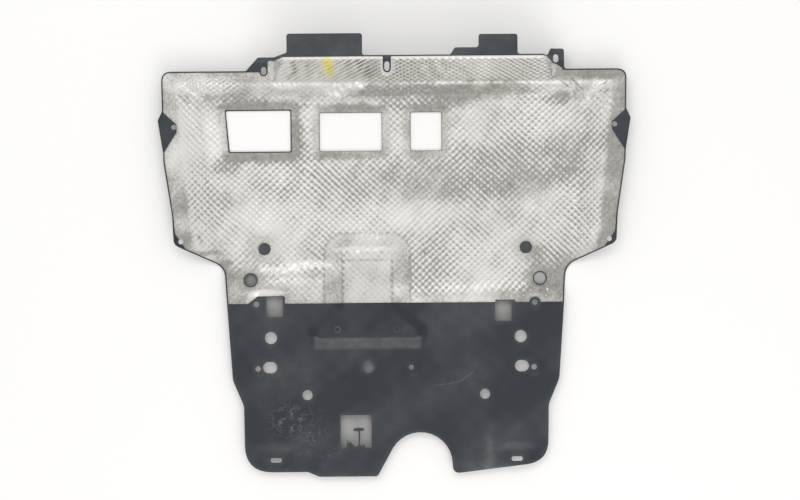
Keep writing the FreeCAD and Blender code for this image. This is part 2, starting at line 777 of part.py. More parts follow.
panel_face = lifted("panel_face", "panel_thickness")
shield_face = lifted("shield_face", "panel_thickness + shield_thickness")
pieces = [
    formed_sheet("undertray_panel", panel_face, die, panel_plan, panel_holes),
    formed_sheet("heat_shield", shield_face, panel_face, shield_plan, shield_holes),
]
doc.recompute()

failed = [item.Name for item in doc.Objects if "Invalid" in item.State or "Error" in item.State]
if failed:
    raise RuntimeError(f"not built: {failed}")
for piece in pieces:
    if piece.Shape.isNull() or not piece.Shape.isValid() or len(piece.Shape.Solids) != 1:
        raise RuntimeError(f"{piece.Label} is not one valid solid")

os.makedirs("parts", exist_ok=True)
for piece in pieces:
    piece.Shape.exportStep(f"parts/{piece.Label}.step")
    box = piece.Shape.BoundBox
    print(piece.Label, round(piece.Shape.Volume), "mm3", [round(v, 1) for v in (box.XLength, box.YLength, box.ZLength)])
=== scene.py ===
"""Engine splash shield: a black moulded undertray panel with an embossed aluminium heat shield on it.

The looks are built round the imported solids, in their frame: +X across the car, +Y towards the raised
wall with the two tabs, +Z up. Plan shapes are worked out in millimetres, with the origin in the middle
of the part, and become metres when they go into a mesh.
"""
import math

import bpy
import numpy as np
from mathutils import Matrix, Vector
from mathutils.geometry import delaunay_2d_cdt


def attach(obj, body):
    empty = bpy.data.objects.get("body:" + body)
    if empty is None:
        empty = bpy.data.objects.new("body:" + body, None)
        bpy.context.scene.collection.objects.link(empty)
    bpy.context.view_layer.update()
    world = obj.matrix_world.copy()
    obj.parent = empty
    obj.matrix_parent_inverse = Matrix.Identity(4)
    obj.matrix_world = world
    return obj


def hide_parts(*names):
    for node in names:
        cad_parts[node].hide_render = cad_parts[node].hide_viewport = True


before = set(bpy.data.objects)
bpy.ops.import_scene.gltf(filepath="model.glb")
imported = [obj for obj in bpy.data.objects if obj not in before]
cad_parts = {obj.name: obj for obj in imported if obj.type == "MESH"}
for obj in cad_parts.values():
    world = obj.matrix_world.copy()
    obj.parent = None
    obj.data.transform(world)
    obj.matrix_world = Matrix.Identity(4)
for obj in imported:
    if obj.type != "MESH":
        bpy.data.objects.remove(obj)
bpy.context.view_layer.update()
scene = bpy.context.scene
scene.view_settings.view_transform = "Standard"


# Camera: it looks straight down on the tray from well above, so that the raised tabs spread only a little.
# At floor level the picture is 1.4 m wide, and the tray lies a touch askew in it.
picture_width = 1.4
camera_height = 3.5
camera = bpy.data.objects.new("camera", bpy.data.cameras.new("camera"))
camera.data.lens = camera.data.sensor_width * camera_height / picture_width
camera.location = (0.0084, 0.012, camera_height)
camera.rotation_euler = (0, 0, math.radians(-0.45))
scene.collection.objects.link(camera)
scene.camera = camera


# Floor: a plain pale studio sheet under the tray, larger than any view of it. It is matt and keeps the
# tray's soft shadow, with a part of its white given straight to what sees it. Grey fields of painted shade
# lie under the larger holes of the tray's low end, standing in for the shade that shows through them.
floor_half = 6.0
shade_lift = 0.0002
floor_fields = np.array([
    (-floor_half, -floor_half, floor_half, floor_half, 0),
    (-0.230, -0.108, -0.192, -0.063, shade_lift), (0.168, -0.118, 0.207, -0.073, shade_lift),
    (-0.266, -0.052, -0.239, -0.025, shade_lift), (0.239, -0.052, 0.266, -0.025, shade_lift),
    (-0.060, -0.203, -0.036, -0.179, shade_lift), (-0.100, -0.335, -0.040, -0.270, shade_lift),
])
field_corners = floor_fields[:, [(0, 1, 4), (2, 1, 4), (2, 3, 4), (0, 3, 4)]].reshape(-1, 3)
floor_mesh = bpy.data.meshes.new("floor")
field_faces = np.arange(len(field_corners)).reshape(-1, 4)
floor_mesh.from_pydata(field_corners.tolist(), [], field_faces.tolist())
floor_mesh.polygons.foreach_set("material_index", np.minimum(np.arange(len(floor_fields)), 1))
floor = bpy.data.objects.new("floor", floor_mesh)
scene.collection.objects.link(floor)
floor_paint = bpy.data.materials.new("floor_paint")
floor_paint.use_nodes = True
floor_shader = floor_paint.node_tree.nodes["Principled BSDF"]
floor_shader.inputs["Base Color"].default_value = (0.80, 0.796, 0.785, 1)
floor_shader.inputs["Emission Color"].default_value = (0.15, 0.149, 0.147, 1)
light_path = floor_paint.node_tree.nodes.new("ShaderNodeLightPath")
seen = light_path.outputs["Is Camera Ray"]
for ray in ("Is Glossy Ray", "Is Transmission Ray"):
    either = floor_paint.node_tree.nodes.new("ShaderNodeMath")
    either.operation = "MAXIMUM"
    floor_paint.node_tree.links.new(seen, either.inputs[0])
    floor_paint.node_tree.links.new(light_path.outputs[ray], either.inputs[1])
    seen = either.outputs[0]
floor_paint.node_tree.links.new(seen, floor_shader.inputs["Emission Strength"])
floor_shade = bpy.data.materials.new("floor_shade")
floor_shade.use_nodes = True
shade_shader = floor_shade.node_tree.nodes["Principled BSDF"]
shade_shader.inputs["Base Color"].default_value = (0.40, 0.402, 0.398, 1)
for matt in (floor_shader, shade_shader):
    matt.inputs["Roughness"].default_value = 0.9
    matt.inputs["Specular IOR Level"].default_value = 0.1
floor_mesh.materials.append(floor_paint)
floor_mesh.materials.append(floor_shade)


# Light: a pale room and one broad soft lamp on the side of the raised wall, which shows the embossing.
# A weak second lamp fills in from the other side.
world = bpy.data.worlds.new("pale_room")
world.use_nodes = True
world.node_tree.nodes["Background"].inputs["Color"].default_value = (1.0, 0.995, 0.985, 1)
world.node_tree.nodes["Background"].inputs["Strength"].default_value = 0.79
scene.world = world


def soft_lamp(name, place, aim, width, length, watts):
    """A rectangular lamp at a place, turned to face the point that it is aimed at."""
    lamp = bpy.data.objects.new(name, bpy.data.lights.new(name, "AREA"))
    lamp.data.shape = "RECTANGLE"
    lamp.data.size, lamp.data.size_y = width, length
    lamp.data.energy = watts
    lamp.location = place
    lamp.rotation_euler = (Vector(aim) - Vector(place)).to_track_quat("-Z", "Y").to_euler()
    scene.collection.objects.link(lamp)


soft_lamp("wall_side_lamp", (-0.35, 1.5, 2.8), (0, 0.05, 0), 2.6, 1.3, 21)
soft_lamp("fill_lamp", (0.5, -2.2, 1.7), (0, 0.1, 0), 1.8, 1.2, 18)


# Undertray panel: a tray of black polypropylene, moulded in one piece about 3 mm thick. A flat field lies
# lowest, with a sloped rim, a raised wall with tabs, and a plane with a sunk pocket and bosses round the
# fixings.
metres_per_mm = 0.001
panel_thickness = 3.0
rim_height, rim_foot_y, rim_foot_top_x, rim_foot_low_x, rim_low_y = 24, 279.75, 337.5, 301, -56.25
wall_height, wall_foot_y, wall_front_run, wall_end_run = 65, 305.75, 34, 20
wall_left_x, wall_right_x = -208, 276
rim_side_draft, rim_draft, tray_draft, boss_draft = 62, 45, 58, 60
tray_height, boss_height, boss_radius = 12, 3, 16
slot_boss_radius, slot_boss_half = 21, 10
rim_side_fold, rim_fold, wall_fold, boss_fold = 5.0, 7.0, 6.0, 1.2
slot_x, slot_y, slot_end_y = 209.7, -352.75, -300
upper_hole, lower_hole, middle_hole = (242.5, -80.75), (240.5, -193.25), (26.5, -192.25)
ring_marks, ring_radius = [(-102, -126.5), (1.4, -126.5)], 5.0
pocket_x = -49
tray_edge = np.array([
    (-467, -446), (467, -446), (467, -55.25), (-7.5, -55.25), (-7.5, -91.25), (37, -129.75), (37, -140.75),
    (-135, -140.75), (-135, -129.75), (-90.5, -91.25), (-90.5, -19.25), (-467, -19.25),
], float)


def inside(points, loop):
    """True where a ray along +X from the point crosses an odd number of the loop's edges."""
    x, y = points[:, :1], points[:, 1:]
    (x0, y0), (x1, y1) = loop.T, np.roll(loop, -1, axis=0).T
    rise = np.where(y1 == y0, 1.0, y1 - y0)
    return (((y0 > y) != (y1 > y)) & (x < x0 + (y - y0) * (x1 - x0) / rise)).sum(1) % 2 == 1


def depth_inside(points, loop):
    """Distance to the nearest edge of a loop, by the foot of the perpendicular on each edge; it is positive
    inside the loop and negative outside."""
    nearest = np.full(len(points), np.inf)
    for start, end in zip(loop, np.roll(loop, -1, axis=0)):
        run = end - start
        share = np.clip((points - start) @ run / (run @ run), 0, 1)[:, None]
        nearest = np.minimum(nearest, np.linalg.norm(points - start - share * run, axis=1))
    return np.where(inside(points, loop), nearest, -nearest)


def soft_rise(t, radius):
    """Zero below 0 and t above it, joined by a parabola over the radius on either side."""
    return np.where(np.abs(t) < radius, (t + radius) ** 2 / (4 * radius), np.maximum(t, 0))


def soft_wall(rise, height, radius):
    """A wall that rises from 0 to its height, folded softly at its foot and its top: one soft rise, less a
    second that starts at the height."""
    return soft_rise(rise, radius) - soft_rise(rise - height, radius)


def tangent(degrees):
    """How far a wall with this draft runs sideways for each millimetre that it rises."""
    return math.tan(math.radians(degrees))


def rim_foot_x(y):
    """Where the side rims start: a straight line in plan that leans outwards towards the wall."""
    share = np.clip((y - rim_low_y) / (rim_foot_y - rim_low_y), 0, 1)
    return rim_foot_low_x + (rim_foot_top_x - rim_foot_low_x) * share


def relief(points):
    """Height of the moulding tool: the highest of the rim with the wall on it, the tray's plane and the
    bosses on that plane."""
    x, y = points.T
    side_lean = math.hypot(1, (rim_foot_top_x - rim_foot_low_x) / (rim_foot_y - rim_low_y))
    side_rise = (np.abs(x) - rim_foot_x(y)) / side_lean / tangent(rim_side_draft)
    top_rise = (y - rim_foot_y) / tangent(rim_draft)
    rim = np.maximum(soft_wall(side_rise, rim_height, rim_side_fold),
                     soft_wall(top_rise, rim_height, rim_fold))
    share = np.minimum((y - wall_foot_y) / wall_front_run,
                       np.minimum(x - wall_left_x, wall_right_x - x) / wall_end_run)
    wall = soft_wall(share * wall_height, wall_height, wall_fold)
    # The tray's fold is rounder where the heat shield lies over it.
    tray_fold = 2.5 + 5.5 * np.clip((y + 95) / 30, 0, 1)
    tray = soft_wall(depth_inside(points, tray_edge) / tangent(tray_draft), tray_height, tray_fold)
    height = np.maximum(rim + wall, tray)
    bosses = [(-upper_hole[0], upper_hole[1]), upper_hole,
              (-lower_hole[0], lower_hole[1]), lower_hole, middle_hole]
    for boss_x, boss_y in bosses:
        rise = (boss_radius - np.hypot(x - boss_x, y - boss_y)) / tangent(boss_draft)
        height = np.maximum(height, tray_height + boss_height - soft_rise(boss_height - rise, boss_fold))
    for side in (-1, 1):
        off_slot = np.hypot(np.maximum(np.abs(x - side * slot_x) - slot_boss_half, 0), y - slot_y)
        slot_rise = (slot_boss_radius - off_slot) / tangent(boss_draft)
        slot_boss = soft_wall(slot_rise, boss_height, boss_fold)
        height = np.maximum(height, tray_height * (y < slot_end_y) + slot_boss)
    return height


def rounded(corners, step):
    """A closed outline through corners (x, y, radius): each corner is a quadratic curve between the points
    where its round leaves the edges, and the whole outline is then divided evenly by about the step."""
    corners = np.array(corners, float)
    place, radius = corners[:, :2], corners[:, 2:]
    before = np.roll(place, 1, axis=0) - place
    after = np.roll(place, -1, axis=0) - place
    before /= np.linalg.norm(before, axis=1, keepdims=True)
    after /= np.linalg.norm(after, axis=1, keepdims=True)
    half_angle = np.arccos(np.clip((before * after).sum(1, keepdims=True), -1, 1)) / 2
    cut = radius / np.tan(half_angle)
    s = np.linspace(0, 1, 9)[None, :, None]
    first, last = place + before * cut, place + after * cut
    line = (1 - s) ** 2 * first[:, None] + 2 * s * (1 - s) * place[:, None] + s ** 2 * last[:, None]
    line = line.reshape(-1, 2)
    line = np.concatenate([line, line[:1]])
    travelled = np.concatenate([[0], np.cumsum(np.linalg.norm(np.diff(line, axis=0), axis=1))])
    count = max(8, round(travelled[-1] / step))
    even = np.linspace(0, travelled[-1], count, endpoint=False)
    return np.stack([np.interp(even, travelled, values) for values in line.T], axis=1)


def obround(x, y, width, height, step=1.5):
    """A slot: a circle of the smaller size, its halves moved apart along the larger one. It is a round hole
    where the two are equal."""
    count = max(24, round(math.pi * max(width, height) / step))
    turn = np.linspace(0, 2 * math.pi, count, endpoint=False)
    radius = min(width, height) / 2
    across, along = np.cos(turn), np.sin(turn)
    return np.stack([x + across * radius + np.sign(np.round(across, 9)) * (width / 2 - radius),
                     y + along * radius + np.sign(np.round(along, 9)) * (height / 2 - radius)], axis=1)


def box_hole(left, low, right, top, radius, step=2.0):
    """A rectangular hole between two opposite corners, with its own corners rounded."""
    corners = [(left, low), (right, low), (right, top), (left, top)]
    return rounded([(x, y, radius) for x, y in corners], step)


def mirrored(corners):
    """The same corners on the other side of the middle, in the order that keeps the loop's turn."""
    return [(-x, *rest) for x, *rest in reversed(corners)]


def off_loops(points, loops):
    """Distance of each point from the nearest point of the loops, by the square of a difference written as
    two squares less twice the product, for blocks of points at a time."""
    rims = np.concatenate(loops)
    parts = []
    for block in np.array_split(points, max(1, len(points) // 6000)):
        square = (block ** 2).sum(1)[:, None] + (rims ** 2).sum(1)[None] - 2 * block @ rims.T
        parts.append(np.sqrt(np.maximum(square.min(1), 0)))
    return np.concatenate(parts)


def triangulate(loops, lattice, clear):
    """Triangles between an outline and its holes: lattice points that keep clear of the loops, joined by a
    constrained Delaunay net. Returns the points, the triangles, and where the loops' points went."""
    holes = loops[1:]
    lattice = lattice[off_loops(lattice, loops) > clear]
    for hole in holes:
        (left, low), (right, top) = hole.min(0), hole.max(0)
        near = ((lattice > (left, low)) & (lattice < (right, top))).all(1)
        near[near] = inside(lattice[near], hole)
        lattice = lattice[~near]
    rims = np.concatenate(loops)
    starts = np.cumsum([0] + [len(loop) for loop in loops])
    edges = np.concatenate([np.stack([np.arange(a, b), np.roll(np.arange(a, b), -1)], axis=1)
                            for a, b in zip(starts, starts[1:])])
    everything = [Vector(p) for p in np.concatenate([rims, lattice]).tolist()]
    net = delaunay_2d_cdt(everything, edges.tolist(), [], 1, 1e-7)
    points = np.array([tuple(p) for p in net[0]])
    triangles = np.array(net[2])
    source = np.array([origin[0] for origin in net[3]])
    keep = np.ones(len(triangles), bool)
    centres = points[triangles].mean(1)
    for hole, a, b in zip(holes, starts[1:], starts[2:]):
        rim_only = ((source[triangles] >= a) & (source[triangles] < b)).all(1)
        rim_only[rim_only] = inside(centres[rim_only], hole)
        keep &= ~rim_only
    triangles = triangles[keep]
    used, triangles = np.unique(triangles, return_inverse=True)
    points, source = points[used], source[used]
    place = np.full(len(everything), -1)
    place[source] = np.arange(len(source))
    return points, triangles.reshape(-1, 3), place[edges]


def turned(loops):
    """The outline turning left and the holes turning right, so that the sheet always lies on the left."""
    def area(loop):
        """Twice a loop's area, from the products of neighbouring corners; positive where it turns left."""
        x, y = loop.T
        return (x * np.roll(y, -1) - y * np.roll(x, -1)).sum()
    return [loop if (area(loop) > 0) == (i == 0) else loop[::-1] for i, loop in enumerate(loops)]


def plate(name, top, top_z, low, low_z, attributes, sharp_deg):
    """A closed plate: an upper net, a lower net turned over, and a band of faces round each loop between
    them. The attributes are values at the upper net's points, with their value on the lower net."""
    (top_points, top_triangles, top_rims), (low_points, low_triangles, low_rims) = top, low
    shift = len(top_points)
    top_places, low_places = np.column_stack([top_points, top_z]), np.column_stack([low_points, low_z])
    places = np.concatenate([top_places, low_places]) * metres_per_mm
    band = np.column_stack([top_rims[:, ::-1], low_rims + shift])
    band = np.concatenate([band[:, [0, 1, 2]], band[:, [0, 2, 3]]])
    faces = np.concatenate([top_triangles, low_triangles[:, ::-1] + shift, band])
    mesh = bpy.data.meshes.new(name)
    mesh.vertices.add(len(places))
    mesh.vertices.foreach_set("co", places.ravel())
    mesh.loops.add(faces.size)
    mesh.loops.foreach_set("vertex_index", faces.ravel())
    mesh.polygons.add(len(faces))
    mesh.polygons.foreach_set("loop_start", np.arange(0, faces.size, 3))
    mesh.update(calc_edges=True)
    mesh.shade_smooth()
    mesh.set_sharp_from_angle(angle=math.radians(sharp_deg))
    for label, (upper, lower) in attributes.items():
        layer = mesh.attributes.new(label, "FLOAT", "POINT")
        values = np.concatenate([upper, np.full(len(low_points), lower)])
        layer.data.foreach_set("value", values.astype(np.float32))
    piece = bpy.data.objects.new(name, mesh)
    scene.collection.objects.link(piece)
    return piece


def drift(x, y, size, seed):
    """Soft random patches about the given size, mostly between -1 and 1: a sum of seven waves in seeded
    directions."""
    waves = 7
    draw = np.random.default_rng(seed)
    heading = draw.uniform(0, 2 * math.pi, waves)
    length = size * draw.uniform(1.2, 3.2, waves)
    phase = draw.uniform(0, 2 * math.pi, waves)
    ahead = np.multiply.outer(x, np.cos(heading) / length) + np.multiply.outer(y, np.sin(heading) / length)
    return np.cos(2 * math.pi * ahead + phase).sum(-1) / 3.0


def patch(x, y, centre, reach, edge=1.0):
    """An oval patch: about 1 in the middle, fading to 0 round its rim by a logistic curve."""
    out = np.hypot((x - centre[0]) / reach[0], (y - centre[1]) / reach[1])
    return 1 / (1 + np.exp((out - 1) * 6 / edge))


side_ear = [(401.8, 183.75, 4), (410.85, 239.75, 5), (403.2, 255.75, 4)]
flank = [(265.5, -258.25, 30), (284.5, -213.25, 30), (298.2, -15.9, 32), (384.5, 23.75, 14), (387, 74, 60),
         (401.5, 168, 60), *side_ear, (404.5, 324.75, 17)]
notch_centre, notch_radius = (41.5, -361.95), 56
notch_turn = np.radians(np.linspace(151.2, 0, 14))
notch_arch = [(notch_centre[0] + notch_radius * math.cos(turn),
               notch_centre[1] + notch_radius * math.sin(turn), 0) for turn in notch_turn]
panel_outline = rounded([
    (-264, -373.75, 48), (-155, -373.75, 10), (-135, -382.25, 10), (-33.5, -382.25, 6), *notch_arch,
    (97.5, -378.75, 13), (264, -358.25, 42), *flank,
    (296, 324.75, 5), (296, 359.75, 5), (272, 359.75, 5), (264, 344.75, 3),
    (211.5, 344.75, 5), (211.5, 379.25, 5), (145, 379.25, 5),
    (145, 356.75, 5), (104, 356.75, 5), (97, 344.75, 5),
    (-53.5, 344.75, 5), (-53.5, 382.25, 5), (-182.5, 382.25, 5), (-182.5, 348.25, 5),
    (-236, 348.25, 4), (-257, 324.75, 4), *mirrored(flank),
], 2.2)
windows = {
    "wide": [(-288, 185.75), (-181.5, 185.75), (-181.5, 257.25), (-294.5, 257.25)],
    "middle": [(-130.5, 185.75), (-22, 185.75), (-22, 252.75), (-130.5, 252.75)],
    "narrow": [(28.5, 185.75), (82.5, 185.75), (82.5, 252.75), (28.5, 252.75)],
}
torn_edge = [
    (10.5, 0), (11.5, 14.5), (14, 8), (16.5, 10.5), (19.5, 7), (24, 2.5), (29.5, 1.5), (31, 5),
    (31.2, 28), (22, 29), (22.5, 33), (32, 35), (41.5, 33), (41, 29.5), (34, 28.5), (33.5, 4.5),
    (37, 2.5), (40.5, 6), (42.5, 0),
]
port_left, port_low, port_round = -97.5, -331.75, 2.5
port_right, port_top = port_left + 54, port_low + 56.5
broken_port = rounded([(port_left, port_low, port_round),
                       *((port_left + x, port_low + y, 0.2) for x, y in torn_edge),
                       (port_right, port_low, port_round), (port_right, port_top, port_round),
                       (port_left, port_top, port_round)], 0.8)
panel_holes = [rounded([(x, y, 3) for x, y in corners], 2.0) for corners in windows.values()]
panel_holes += [broken_port, box_hole(-225.4, -102.75, -196.6, -67.75, port_round),
                box_hole(173.4, -112.75, 202.2, -77.75, port_round)]
panel_holes += [obround(x, y, 9, 14) for x, y in ((-226, 324.75), (-11.7, 327.75), (281.5, 342.75))]
panel_holes += [obround(*middle_hole, 8.5, 8.5), obround(-48, -191.25, 21, 21)]
for side in (-1, 1):
    panel_holes += [
        obround(side * 383, 228.25, 9, 9), obround(side * 372, 29.25, 9, 9),
        obround(side * upper_hole[0], upper_hole[1], 9.5, 9.5),
        obround(side * lower_hole[0], lower_hole[1], 9.5, 9.5),
        obround(side * 252.5, -38.75, 21, 21), obround(side * 217.7, -139.75, 21, 21),
        obround(side * 154.7, -239.75, 17.5, 17.5), obround(side * slot_x, slot_y, 19.5, 8),
        obround(side * 219.3, -191.25, 24.3, 19.7),
    ]
panel_loops = turned([panel_outline, *panel_holes])


def lattice_over(low, high, step):
    """Rows of points in even triangles: every other row is set over by half a step."""
    row_share = 0.866
    rows = np.arange(low[1], high[1], step * row_share)
    columns = np.arange(low[0], high[0], step)
    x = columns[None] + (np.arange(len(rows)) % 2)[:, None] * step / 2
    return np.stack([x, np.broadcast_to(rows[:, None], x.shape)], axis=-1).reshape(-1, 2)


panel_lattice = lattice_over((-412, -383), (412, 383), 3.6)
ring_turn = np.linspace(0, 2 * math.pi, 24, endpoint=False)
for centre in ring_marks:
    panel_lattice = panel_lattice[np.hypot(*(panel_lattice - centre).T) > 8.5]
    for radius in (1.5, 3.2, 4.2, ring_radius, 5.8, 7.0):
        ring = np.stack([np.cos(ring_turn), np.sin(ring_turn)], axis=1) * radius + centre
        panel_lattice = np.concatenate([panel_lattice, ring])
scratch_line = np.array([(71.4, -224), (92, -221.5), (111.7, -217), (122, -210.5), (131.6, -202.5)])
scratch_knots = np.arange(len(scratch_line))
scratch_place = np.linspace(0, scratch_knots[-1], 60)
scratch = np.stack([np.interp(scratch_place, scratch_knots, values) for values in scratch_line.T], axis=1)
panel_lattice = panel_lattice[off_loops(panel_lattice, [scratch]) > 3.0]
across = np.gradient(scratch, axis=0) @ np.array([(0, 1), (-1, 0)])
across /= np.linalg.norm(across, axis=1, keepdims=True)
beside_scratch = [scratch + across * off for off in (-1.6, -0.7, 0, 0.7, 1.6)]
panel_lattice = np.concatenate([panel_lattice, *beside_scratch])
panel_net = triangulate(panel_loops, panel_lattice, 1.6)
panel_points = panel_net[0]
panel_x, panel_y = panel_points.T
panel_relief = relief(panel_points)
edge_distance = off_loops(panel_points, panel_loops)
edge_round = 0.8 * np.clip(1 - edge_distance / 1.6, 0, 1) ** 2
off_rings = [np.hypot(panel_x - ring_x, panel_y - ring_y) - ring_radius for ring_x, ring_y in ring_marks]
ring_height = sum(0.45 * np.exp(-(off_ring / 0.9) ** 2) for off_ring in off_rings)
hand_finish = 0.12 * drift(panel_x, panel_y, 60, 3) * (edge_distance > 4)
panel_top = panel_relief + panel_thickness - edge_round + ring_height + np.minimum(hand_finish, 0)
under_sheet = (panel_y > -58) & (edge_distance > 14)
panel_top -= 0.6 * under_sheet
panel_low = panel_relief + edge_round

# Dust in drifts and along edges, two patches of lime marks, and the worn lines of the scratch and the rings.
# Painted shade on the pocket's side slopes and a painted highlight along its lower slope go in with the
# dust.
dust_and_slope_shading = 0.25 + 0.3 * drift(panel_x, panel_y, 90, 5) + 0.15 * drift(panel_x, panel_y, 25, 6)
dust_and_slope_shading += 0.7 * (panel_y > 338) + sum(0.7 * patch(panel_x, panel_y, (side * 228.5, 15.5), (14, 14))
                                    for side in (-1, 1))
pocket_depth = depth_inside(panel_points, tray_edge)
on_slope = np.clip(pocket_depth / 2, 0, 1) * np.clip((19 - pocket_depth) / 2, 0, 1)
pocket_slope = on_slope * (panel_y < -138)
# Painted shade: less dust on the pocket's side slopes, so that they show darker.
dust_and_slope_shading -= 0.9 * on_slope * (panel_y > -138) * (panel_y < -70) * (np.abs(panel_x - pocket_x) < 115)
pocket_width = np.clip((46 - panel_x) / 3, 0, 1) * np.clip((panel_x + 144) / 3, 0, 1)
# Painted highlight: a pale band along the pocket's lower slope.
dust_and_slope_shading += 1.9 * pocket_slope * pocket_width * (panel_y > -163)
tail_dust = [(1.4, (162, -345), (8, 26), 2.5), (1.1, (150, -366), (38, 8), 2),
             (1.0, (206, -331), (28, 7), 1.2), (0.8, (-206, -331), (30, 8), 1.5)]
for depth, centre, reach, edge in tail_dust:
    dust_and_slope_shading += depth * patch(panel_x, panel_y, centre, reach, edge)
dust_and_slope_shading += 0.6 * np.exp(-np.maximum(edge_distance - 1, 0) / 2.5) * (panel_y < -20)
lime = (patch(panel_x, panel_y, (-180, -284), (40, 27), 1.4)
        * np.clip(0.6 + drift(panel_x, panel_y, 12, 8), 0, 1))
lime += (0.5 * patch(panel_x, panel_y, (-140, -325), (38, 30), 1.5)
         * np.clip(0.3 + drift(panel_x, panel_y, 14, 9), 0, 1))
scratch_cover = 0.65 * np.clip(1 - off_loops(panel_points, [scratch]) / 0.9, 0, 1)
for off_ring, share in zip(off_rings, (1.0, 0.4)):
    scratch_cover += share * np.exp(-(off_ring / 0.7) ** 2)
panel = plate("undertray_panel_moulding", panel_net, panel_top, panel_net, panel_low,
              {"dust_and_slope_shading": (np.clip(dust_and_slope_shading, 0, 2.4), 0.3), "lime": (np.clip(lime, 0, 1), 0.0),
               "scratch": (scratch_cover, 0.0)}, 50)


def new_group(name, inputs, outputs):
    """An empty shader group with named value, vector or colour sockets."""
    group = bpy.data.node_groups.new(name, "ShaderNodeTree")
    for label, kind, default in inputs:
        socket = group.interface.new_socket(label, in_out="INPUT", socket_type=kind)
        socket.default_value = default
    for label, kind in outputs:
        group.interface.new_socket(label, in_out="OUTPUT", socket_type=kind)
    return group, group.nodes.new("NodeGroupInput"), group.nodes.new("NodeGroupOutput")


def math_node(tree, operation, first, second=None, third=None, clamp=False):
    """A Math node whose inputs are links or numbers; it returns its output."""
    node = tree.nodes.new("ShaderNodeMath")
    node.operation = operation
    node.use_clamp = clamp
    for socket, value in zip(node.inputs, (first, second, third)):
        if isinstance(value, bpy.types.NodeSocket):
            tree.links.new(value, socket)
        elif value is not None:
            socket.default_value = value
    return node.outputs[0]


def noise_node(tree, vector, scale, detail, roughness=0.5):
    """Noise, with its scale in flecks to the metre; it returns its value."""
    node = tree.nodes.new("ShaderNodeTexNoise")
    node.inputs["Scale"].default_value = scale
    node.inputs["Detail"].default_value = detail
    node.inputs["Roughness"].default_value = roughness
    tree.links.new(vector, node.inputs["Vector"])
    return node.outputs["Fac"]


def colour_mix(tree, share, first, second):
    """A mix of two colours; the share and the colours are links or values."""
    node = tree.nodes.new("ShaderNodeMix")
    node.data_type = "RGBA"
    share_socket, first_socket, second_socket = node.inputs[0], node.inputs[6], node.inputs[7]
    for socket, value in ((share_socket, share), (first_socket, first), (second_socket, second)):
        if isinstance(value, bpy.types.NodeSocket):
            tree.links.new(value, socket)
        else:
            socket.default_value = value
    return node.outputs[2]


def attribute_node(tree, label):
    """The value that the mesh carries at its points under this name."""
    node = tree.nodes.new("ShaderNodeAttribute")
    node.attribute_name = label
    return node.outputs["Fac"]


def bump_node(tree, height, distance, strength):
    """A normal tilted by the slope of a height, of which 1 stands for the distance in metres."""
    node = tree.nodes.new("ShaderNodeBump")
    node.inputs["Distance"].default_value = distance
    node.inputs["Strength"].default_value = strength
    tree.links.new(height, node.inputs["Height"])
    return node.outputs["Normal"]


def new_material(name):
    """A material with its node tree, its shader and its Object coordinates."""
    material = bpy.data.materials.new(name)
    material.use_nodes = True
    tree = material.node_tree
    coordinates = tree.nodes.new("ShaderNodeTexCoord").outputs["Object"]
    return material, tree, tree.nodes["Principled BSDF"], coordinates


# Speckle, for lime marks and grime: fine noise raised to hard-edged flecks, more of them where the cover
# is higher.
speckle, speckle_in, speckle_out = new_group("speckle", [
    ("Vector", "NodeSocketVector", (0, 0, 0)),
    ("Scale", "NodeSocketFloat", 100),
    ("Cover", "NodeSocketFloat", 0.5),
], [("Mask", "NodeSocketFloat")])
fleck = speckle.nodes.new("ShaderNodeTexNoise")
fleck.inputs["Detail"].default_value = 4
speckle.links.new(speckle_in.outputs["Vector"], fleck.inputs["Vector"])
speckle.links.new(speckle_in.outputs["Scale"], fleck.inputs["Scale"])
covered = math_node(speckle, "MULTIPLY_ADD", speckle_in.outputs["Cover"], 0.42, -0.72)
above = math_node(speckle, "ADD", fleck.outputs["Fac"], covered)
speckle.links.new(math_node(speckle, "MULTIPLY", above, 9.0, clamp=True), speckle_out.inputs["Mask"])


def place_group(tree, group, links, **values):
    """A group placed in a material, with links to some inputs and values on the others."""
    node = tree.nodes.new("ShaderNodeGroup")
    node.node_tree = group
    for label, link in links.items():
        tree.links.new(link, node.inputs[label])
    for label, value in values.items():
        node.inputs[label].default_value = value
    return node.outputs[0]


moulding, tree, shader, at = new_material("black_moulding")
mottle = noise_node(tree, at, 9, 5, 0.6)
grain = noise_node(tree, at, 900, 2)
worn = noise_node(tree, at, 60, 6, 0.65)
black = colour_mix(tree, mottle, (0.0125, 0.0172, 0.0245, 1), (0.0245, 0.0312, 0.042, 1))
dust_wear = math_node(tree, "MULTIPLY", worn, 0.36)
# Dust, with the painted shade and painted highlight of the pocket's slopes, is mixed over the black.
dust_and_shading_share = math_node(tree, "MULTIPLY", attribute_node(tree, "dust_and_slope_shading"), dust_wear)
dusted_and_shaded = colour_mix(tree, dust_and_shading_share, black, (0.20, 0.203, 0.205, 1))
lime_noise = math_node(tree, "ABSOLUTE", math_node(tree, "SUBTRACT", noise_node(tree, at, 75, 3), 0.5))
lime_lines = math_node(tree, "MULTIPLY_ADD", lime_noise, -22.0, 1.0, clamp=True)
lime_cover = math_node(tree, "MULTIPLY", attribute_node(tree, "lime"), 0.22)
lime_marks = math_node(tree, "MULTIPLY", lime_lines, lime_cover)
specks = place_group(tree, speckle, {"Vector": at}, Scale=210.0, Cover=-0.02)
lime_share = math_node(tree, "MULTIPLY_ADD", specks, 0.35, lime_marks)
limed = colour_mix(tree, lime_share, dusted_and_shaded, (0.42, 0.41, 0.39, 1))
scratch_wear = math_node(tree, "MULTIPLY_ADD", worn, 1.6, -0.45, clamp=True)
scratch_share = math_node(tree, "MULTIPLY", attribute_node(tree, "scratch"), scratch_wear)
scratched = colour_mix(tree, scratch_share, limed, (0.30, 0.29, 0.28, 1))
tree.links.new(scratched, shader.inputs["Base Color"])
tree.links.new(math_node(tree, "MULTIPLY_ADD", worn, 0.22, 0.44), shader.inputs["Roughness"])
